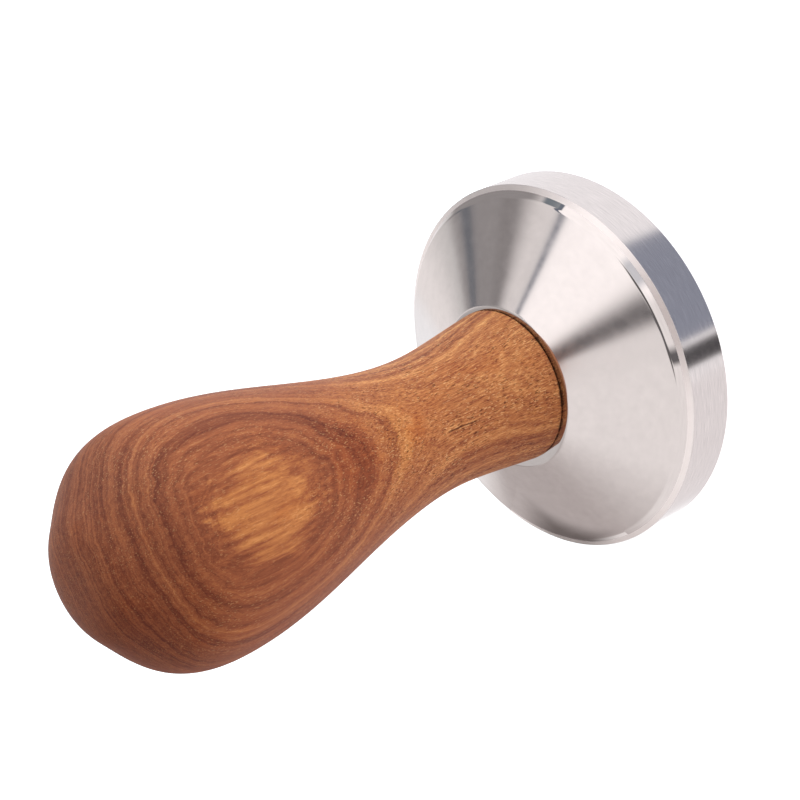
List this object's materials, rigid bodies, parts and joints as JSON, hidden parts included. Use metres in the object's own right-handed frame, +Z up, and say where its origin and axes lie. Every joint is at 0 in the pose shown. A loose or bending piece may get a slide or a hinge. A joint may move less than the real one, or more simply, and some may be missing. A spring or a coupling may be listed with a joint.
{
  "type": "espresso tamper",
  "caption": "Hand tamper for an espresso portafilter basket: heavy turned steel base with a flat face and conical top, and a turned wooden bulb handle that unscrews on a threaded stud.",
  "frame": {"origin": "centre of the flat tamping face, which is the lowest point of the tamper", "axes": "+Z up the handle's axis, from the tamping face to the top of the handle; X and Y are free, because the tamper is round"},
  "size_m": [0.058, 0.058, 0.0957],
  "materials": {
    "steel": "stainless steel, fine turned satin finish",
    "stud_steel": "plain stainless screw thread",
    "brass": "turned, bright",
    "wood": "reddish brown hardwood, oiled, satin"
  },
  "bodies": {
    "base": {"tamper_base": "steel"},
    "stud": {"stud": "stud_steel"},
    "handle": {"handle": "wood", "threaded_insert": "brass"}
  },
  "joints": [
    {"name": "stud_lift", "type": "slide", "parent": "base", "child": "stud", "axis": [0, 0, 1], "range_m": [0, 0.01]},
    {"name": "handle_turn", "type": "hinge", "parent": "stud", "child": "handle", "pos_m": [0, 0, 0.0168], "axis": [0, 0, 1], "range_deg": [0, 2880]}
  ],
  "couplings": [
    {"joint": "stud_lift", "follows": "handle_turn", "m_per_rad": 0.00019894}
  ]
}
